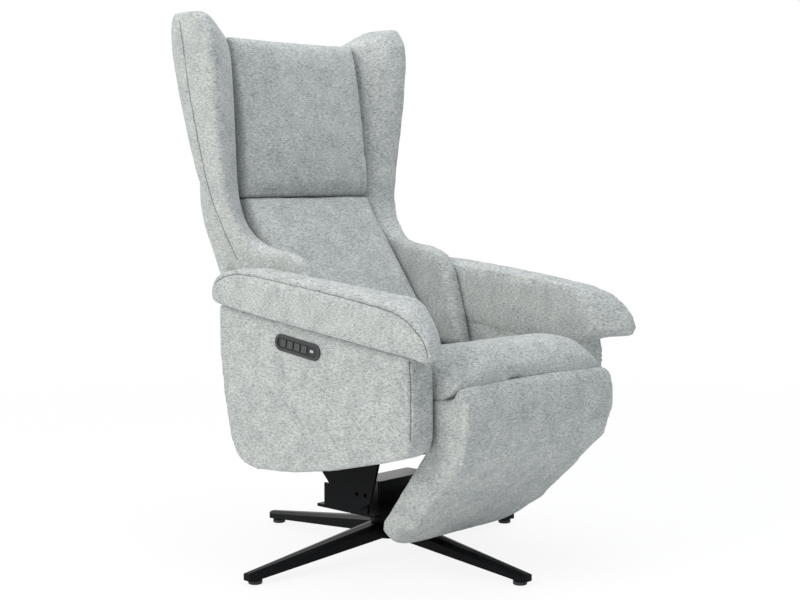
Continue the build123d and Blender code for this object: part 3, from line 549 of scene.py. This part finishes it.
def foot_taper(c):
    """The pad narrows towards its tip, with rounded lower corners, and the ends of its lip droop"""
    across = abs(c.x) / FOOT_HALF_TOP
    lip = ramp(c.z, 0.375, 0.41)
    half = FOOT_HALF_TIP + (FOOT_HALF_TOP - FOOT_HALF_TIP) * ramp(c.z, 0.0, 0.36) + FOOT_LIP_WIDENING * lip
    lift = FOOT_CORNER_LIFT * across**10 * (1 - ramp(c.z, 0.07, 0.13))
    droop = FOOT_LIP_DROOP * lip * across**5
    return Vector((c.x * half / FOOT_HALF_TOP, c.y - 0.6 * lift, c.z + lift - droop))


moved(foot_pad, foot_taper)
relaxed(foot_pad, 4)
swell(foot_pad, 0.005)
fine(foot_pad)
dressed(foot_pad, "footrest", ["foot_cushion"])

# Back shell: rear cover, both wings with their bolsters, and the roll along the top, under one fabric.
# Each level of a wing: height, outer side, then its front and its rear, both at the inner and the outer side.
SHELL_VOXEL = 0.0084
SHELL_DIP = 0.042
COVER_TAPER = 0.12
COVER_SET_FORWARD = 0.008
TOP_ROLL_HALF = 0.192
wing_levels = [
    (0.56, 0.232, 0.090, 0.065, 0.225, 0.200),
    (0.62, 0.237, 0.158, 0.118, 0.262, 0.238),
    (0.66, 0.243, 0.203, 0.162, 0.288, 0.262),
    (0.70, 0.250, 0.236, 0.196, 0.305, 0.280),
    (0.74, 0.258, 0.250, 0.210, 0.318, 0.296),
    (0.80, 0.268, 0.256, 0.214, 0.334, 0.320),
    (0.86, 0.278, 0.257, 0.212, 0.344, 0.332),
    (0.96, 0.292, 0.262, 0.205, 0.358, 0.350),
    (1.05, 0.300, 0.270, 0.203, 0.370, 0.364),
    (1.10, 0.301, 0.276, 0.210, 0.372, 0.366),
    (1.136, 0.297, 0.292, 0.236, 0.362, 0.360),
]
WING_IN = 0.187
BOLSTER_OUT = 0.2275
bolster_outline = [
    (0.250, 0.74),
    (0.232, 0.70),
    (0.196, 0.668),
    (0.140, 0.648),
    (0.066, 0.637),
    (0.030, 0.622),
    (0.008, 0.586),
    (-0.018, 0.50),
    (-0.036, 0.424),
    (0.075, 0.424),
    (0.160, 0.55),
    (0.275, 0.70),
    (0.29, 0.74),
]
top_roll = [
    (0.345, 0.80),
    (0.322, 1.0),
    (0.322, 1.083),
    (0.334, 1.100),
    (0.356, 1.108),
    (0.385, 1.10),
    (0.395, 1.06),
    (0.385, 0.80),
]


def wing_level(turn, z, out, front_in, front_out, rear_in, rear_out):
    """Height and four corners of one level of a wing"""
    inner, outer = turn * WING_IN, turn * out
    return z, ((inner, front_in), (outer, front_out), (outer, rear_out), (inner, rear_in))


bm = bmesh.new()
bm.from_mesh(nodes["rear_cover"].data)
bmesh.ops.remove_doubles(bm, verts=bm.verts, dist=1e-5)
for vertex in bm.verts:
    upper = ramp(vertex.co.z, 0.66, 0.86)
    vertex.co.x *= 1 - COVER_TAPER * upper
    vertex.co.y -= COVER_SET_FORWARD * upper
slab(bm, top_roll, -TOP_ROLL_HALF, TOP_ROLL_HALF)
for turn in (-1, 1):
    slab(bm, bolster_outline, *sorted((turn * WING_IN, turn * BOLSTER_OUT)))
    wing = bmesh.new()
    stack(wing, [wing_level(turn, *level) for level in wing_levels])
    wing_form = bpy.data.meshes.new("wing_form")
    wing.to_mesh(wing_form)
    wing.free()
    bm.from_mesh(wing_form)
back_shell = even_skin(piece_of("back_shell", bm), SHELL_VOXEL)


def shell_top(c):
    """The top edge dips between the wings"""
    away = ramp(abs(c.x), 0.19, 0.305)
    return Vector((c.x, c.y, c.z - SHELL_DIP * (1 - away) * ramp(c.z, 1.02, 1.13)))


moved(back_shell, shell_top)
relaxed(back_shell, 6)
fine(back_shell)
sewn(
    back_shell,
    [
        [
            (turn * 0.275, 0.318, 1.12),
            (turn * 0.30, 0.305, 1.06),
            (turn * 0.29, 0.297, 0.97),
            (turn * 0.272, 0.285, 0.86),
            (turn * 0.256, 0.272, 0.76),
            (turn * 0.242, 0.245, 0.68),
            (turn * 0.235, 0.215, 0.62),
        ]
        for turn in (-1, 1)
    ],
    "back",
)
dressed(
    back_shell,
    "back",
    ["rear_cover", "wing_right", "bolster_right", "wing_left", "bolster_left"],
)

# Arms: a slim padded panel each side and a pad on top with a drooping nose
PANEL_IN = 0.2315
PANEL_OUT = 0.2955
PANEL_SEAM_X = 0.292
panel_outline = [
    (0.203, 0.535),
    (0.202, 0.44),
    (0.190, 0.35),
    (0.171, 0.264),
    (0.152, 0.229),
    (0.130, 0.212),
    (0.090, 0.205),
    (-0.013, 0.212),
    (-0.126, 0.231),
    (-0.259, 0.263),
    (-0.308, 0.277),
    (-0.330, 0.290),
    (-0.337, 0.312),
    (-0.338, 0.34),
    (-0.337, 0.394),
    (-0.334, 0.468),
]
PAD_IN = 0.2295
PAD_OUT = 0.3235
PAD_SEAM_X = 0.319
PAD_NOSE_CUT = 0.055
PAD_RISE = 0.008
PAD_WRAP = 0.045
pad_outline = [
    (0.194, 0.537),
    (0.200, 0.556),
    (0.193, 0.582),
    (0.168, 0.600),
    (0.115, 0.608),
    (0.04, 0.604),
    (-0.08, 0.592),
    (-0.20, 0.577),
    (-0.30, 0.562),
    (-0.345, 0.548),
    (-0.375, 0.527),
    (-0.397, 0.503),
    (-0.405, 0.480),
    (-0.397, 0.461),
    (-0.380, 0.462),
    (-0.35, 0.470),
]
panel_seam = [(-0.329, 0.46), (-0.332, 0.39), (-0.331, 0.315)]
pad_seam = [
    (0.185, 0.580),
    (0.115, 0.600),
    (-0.05, 0.586),
    (-0.20, 0.568),
    (-0.30, 0.553),
    (-0.35, 0.534),
    (-0.387, 0.502),
    (-0.398, 0.474),
]


def pad_form(c):
    """The inner edge is higher, its flank wraps down to the seat, and the nose is cut back towards it"""
    inward = (PAD_OUT - abs(c.x)) / (PAD_OUT - PAD_IN)
    low = 0.512 + 0.132 * c.y
    back = PAD_NOSE_CUT * inward**2 * (1 - ramp(c.y, -0.41, -0.27))
    rise = PAD_RISE * inward * (1 - ramp(c.y, -0.34, 0.1)) * ramp(c.z, low + 0.02, low + 0.06)
    wrap = PAD_WRAP * ramp(inward, 0.55, 0.85) * (1 - ramp(c.z, low, low + 0.05)) * ramp(c.y, -0.40, -0.33)
    return Vector((c.x, c.y + back, c.z + rise - wrap))


for side, turn in (("right", -1), ("left", 1)):
    bm = bmesh.new()
    slab(bm, panel_outline, *sorted((turn * PANEL_IN, turn * PANEL_OUT)))
    arm_side = even_skin(piece_of(f"arm_side_{side}", bm), FABRIC_VOXEL)
    relaxed(arm_side, 5)
    fine(arm_side)
    sewn(arm_side, [[(turn * PANEL_SEAM_X, *at) for at in panel_seam]], "seat")
    dressed(arm_side, "seat", [f"arm_panel_{side}"])

    bm = bmesh.new()
    slab(bm, pad_outline, *sorted((turn * PAD_IN, turn * PAD_OUT)))
    arm_rest = even_skin(piece_of(f"arm_rest_{side}", bm), FABRIC_VOXEL)
    moved(arm_rest, pad_form)
    relaxed(arm_rest, 6)
    swell(arm_rest, 0.004)
    fine(arm_rest)
    sewn(arm_rest, [[(turn * PAD_SEAM_X, *at) for at in pad_seam]], "seat")
    dressed(arm_rest, "seat", [f"arm_pad_{side}"])

# Finishes of the CAD pieces, with the seat frame covered in the chair's own fabric
slots = {part["node"]: part["material_slot"] for part in frame["record"]["subparts"]}
for name, shown in nodes.items():
    if shown.data and name in slots:
        shown.data.materials.clear()
        shown.data.materials.append(finishes[slots[name]])
nodes["seat_frame"].data.materials[0] = chenille


def seen_plainly(tree):
    """1 for what the camera sees, straight or in a reflection or through glass, and 0 for lighting"""
    rays = node(tree, "ShaderNodeLightPath")
    total = rays.outputs["Is Camera Ray"]
    for ray in ("Is Glossy Ray", "Is Transmission Ray"):
        either = node(tree, "ShaderNodeMath", operation="MAXIMUM")
        tree.links.new(total, either.inputs[0])
        tree.links.new(rays.outputs[ray], either.inputs[1])
        total = either.outputs[0]
    return total


def shared(tree, share, first, second, output):
    """Two shaders mixed by share, on the output's surface"""
    mix = node(tree, "ShaderNodeMixShader")
    tree.links.new(share, mix.inputs[0])
    tree.links.new(first.outputs[0], mix.inputs[1])
    tree.links.new(second.outputs[0], mix.inputs[2])
    tree.links.new(mix.outputs[0], tree.nodes[output].inputs["Surface"])


def soft_sky():
    """Soft light from all round, with a white backdrop"""
    world = bpy.data.worlds.new("studio")
    bpy.context.scene.world = world
    world.use_nodes = True
    tree = world.node_tree
    soft = tree.nodes["Background"]
    soft.inputs["Color"].default_value = SKY_COLOUR
    soft.inputs["Strength"].default_value = SKY_STRENGTH
    white = node(tree, "ShaderNodeBackground", Color=(1, 1, 1, 1), Strength=1.0)
    shared(tree, seen_plainly(tree), soft, white, "World Output")


def pale_floor():
    """A floor that keeps the chair's shadow and goes over into the white backdrop with distance"""
    bm = bmesh.new()
    bmesh.ops.create_grid(bm, x_segments=1, y_segments=1, size=FLOOR_SIZE)
    floor = piece_of("floor", bm)
    floor.location.z = cad_low.z - FLOOR_GAP
    material, tree, shader = finish("pale_floor", (0.92, 0.92, 0.92), 0.9)
    glow = node(tree, "ShaderNodeEmission", Color=(1, 1, 1, 1), Strength=1.0)
    place = node(tree, "ShaderNodeTexCoord")
    away = node(tree, "ShaderNodeVectorMath", operation="LENGTH")
    spread = node(tree, "ShaderNodeMapRange")
    for socket, value in zip(("From Min", "From Max", "To Min", "To Max"), FLOOR_FADE):
        spread.inputs[socket].default_value = value
    share = node(tree, "ShaderNodeMath", operation="MULTIPLY")
    tree.links.new(place.outputs["Object"], away.inputs[0])
    tree.links.new(away.outputs["Value"], spread.inputs["Value"])
    tree.links.new(seen_plainly(tree), share.inputs[0])
    tree.links.new(spread.outputs["Result"], share.inputs[1])
    shared(tree, share.outputs[0], shader, glow, "Material Output")
    floor.data.materials.append(material)


def lamps():
    """Soft lamps aimed at the seat"""
    for name, place, size, power, tint in STUDIO_LAMPS:
        lamp = bpy.data.lights.new(name, "AREA")
        lamp.size = size
        lamp.energy = power
        lamp.color = tint
        lit = bpy.data.objects.new(name, lamp)
        lit.location = place
        lit.rotation_euler = (Vector(LAMP_AIM) - Vector(place)).to_track_quat("-Z", "Y").to_euler()
        bpy.context.collection.objects.link(lit)


def photo_view():
    """The camera at the photograph's angle"""
    view = bpy.data.cameras.new("photo_view")
    view.lens = CAMERA_LENS
    view.sensor_width = 36
    view.sensor_fit = "HORIZONTAL"
    camera = bpy.data.objects.new("photo_view", view)
    camera.location = CAMERA_PLACE
    camera.rotation_euler = (radians(CAMERA_PITCH), 0, radians(CAMERA_HEADING))
    bpy.context.collection.objects.link(camera)
    bpy.context.scene.camera = camera


bpy.context.scene.view_settings.view_transform = "Standard"
soft_sky()
pale_floor()
lamps()
photo_view()
